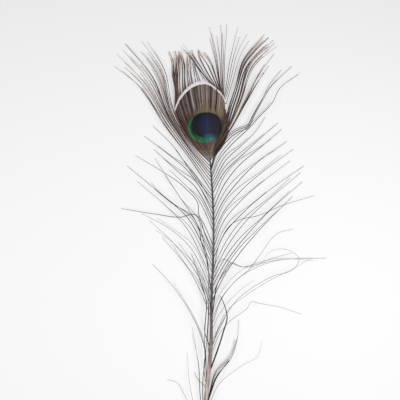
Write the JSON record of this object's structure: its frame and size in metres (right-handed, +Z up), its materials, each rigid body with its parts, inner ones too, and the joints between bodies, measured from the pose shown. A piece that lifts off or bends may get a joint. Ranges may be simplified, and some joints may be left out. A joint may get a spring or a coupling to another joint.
{
  "type": "peacock feather",
  "caption": "Peacock tail feather lying face up: tapering shaft, closed webs with a blue and green eye, and loose barbs that fan out along both sides and above the eye.",
  "frame": {"origin": "middle of the bounding box, on the surface that the feather lies on", "axes": "+Y along the feather from the quill's cut end to the crown, +Z up out of the face of the feather, +X to the right seen from above"},
  "size_m": [0.1502, 0.3272, 0.0122],
  "materials": {
    "quill_keratin": "smooth, slightly waxy keratin, pale at the quill and dark brown towards the eye",
    "eye_web": "close barbules with a structural sheen: blue heart, green crescent, bronze and olive round them",
    "crown_barbs": "matt brown barbs with fine barbules and olive and copper glints",
    "vane_barbs": "matt grey-brown barbs with fine barbules"
  },
  "bodies": {
    "root": {"shaft": "quill_keratin", "eye_web_left": "eye_web", "eye_web_right": "eye_web", "crown_side_lock_01": "crown_barbs", "crown_side_lock_02": "crown_barbs", "crown_side_lock_03": "crown_barbs", "crown_side_lock_04": "crown_barbs", "crown_side_lock_05": "crown_barbs", "crown_side_lock_06": "crown_barbs", "crown_top_lock_01": "crown_barbs", "crown_top_lock_02": "crown_barbs", "crown_top_lock_03": "crown_barbs", "crown_top_lock_04": "crown_barbs", "crown_top_lock_05": "crown_barbs", "crown_top_lock_06": "crown_barbs", "crown_top_lock_07": "crown_barbs", "crown_top_lock_08": "crown_barbs", "crown_top_lock_09": "crown_barbs", "crown_top_lock_10": "crown_barbs", "crown_top_lock_11": "crown_barbs", "vane_right_lock_01": "vane_barbs", "vane_right_lock_02": "vane_barbs", "vane_right_lock_03": "vane_barbs", "vane_right_lock_04": "vane_barbs", "vane_right_lock_05": "vane_barbs", "vane_right_lock_06": "vane_barbs", "vane_right_lock_07": "vane_barbs", "vane_right_lock_08": "vane_barbs", "vane_right_lock_09": "vane_barbs", "vane_right_lock_10": "vane_barbs", "vane_right_lock_11": "vane_barbs", "vane_right_lock_12": "vane_barbs", "vane_right_lock_13": "vane_barbs", "vane_right_lock_14": "vane_barbs", "vane_right_lock_15": "vane_barbs", "vane_left_lock_01": "vane_barbs", "vane_left_lock_02": "vane_barbs", "vane_left_lock_03": "vane_barbs", "vane_left_lock_04": "vane_barbs", "vane_left_lock_05": "vane_barbs", "vane_left_lock_06": "vane_barbs", "vane_left_lock_07": "vane_barbs", "vane_left_lock_08": "vane_barbs", "vane_left_lock_09": "vane_barbs", "vane_left_lock_10": "vane_barbs", "vane_left_lock_11": "vane_barbs", "vane_left_lock_12": "vane_barbs", "vane_left_lock_13": "vane_barbs", "stray_barb_01": "crown_barbs", "stray_barb_02": "vane_barbs", "stray_barb_03": "vane_barbs", "stray_barb_04": "vane_barbs", "stray_barb_05": "vane_barbs", "stray_barb_06": "vane_barbs", "stray_barb_07": "vane_barbs", "stray_barb_08": "vane_barbs", "stray_barb_09": "vane_barbs"}
  },
  "joints": []
}
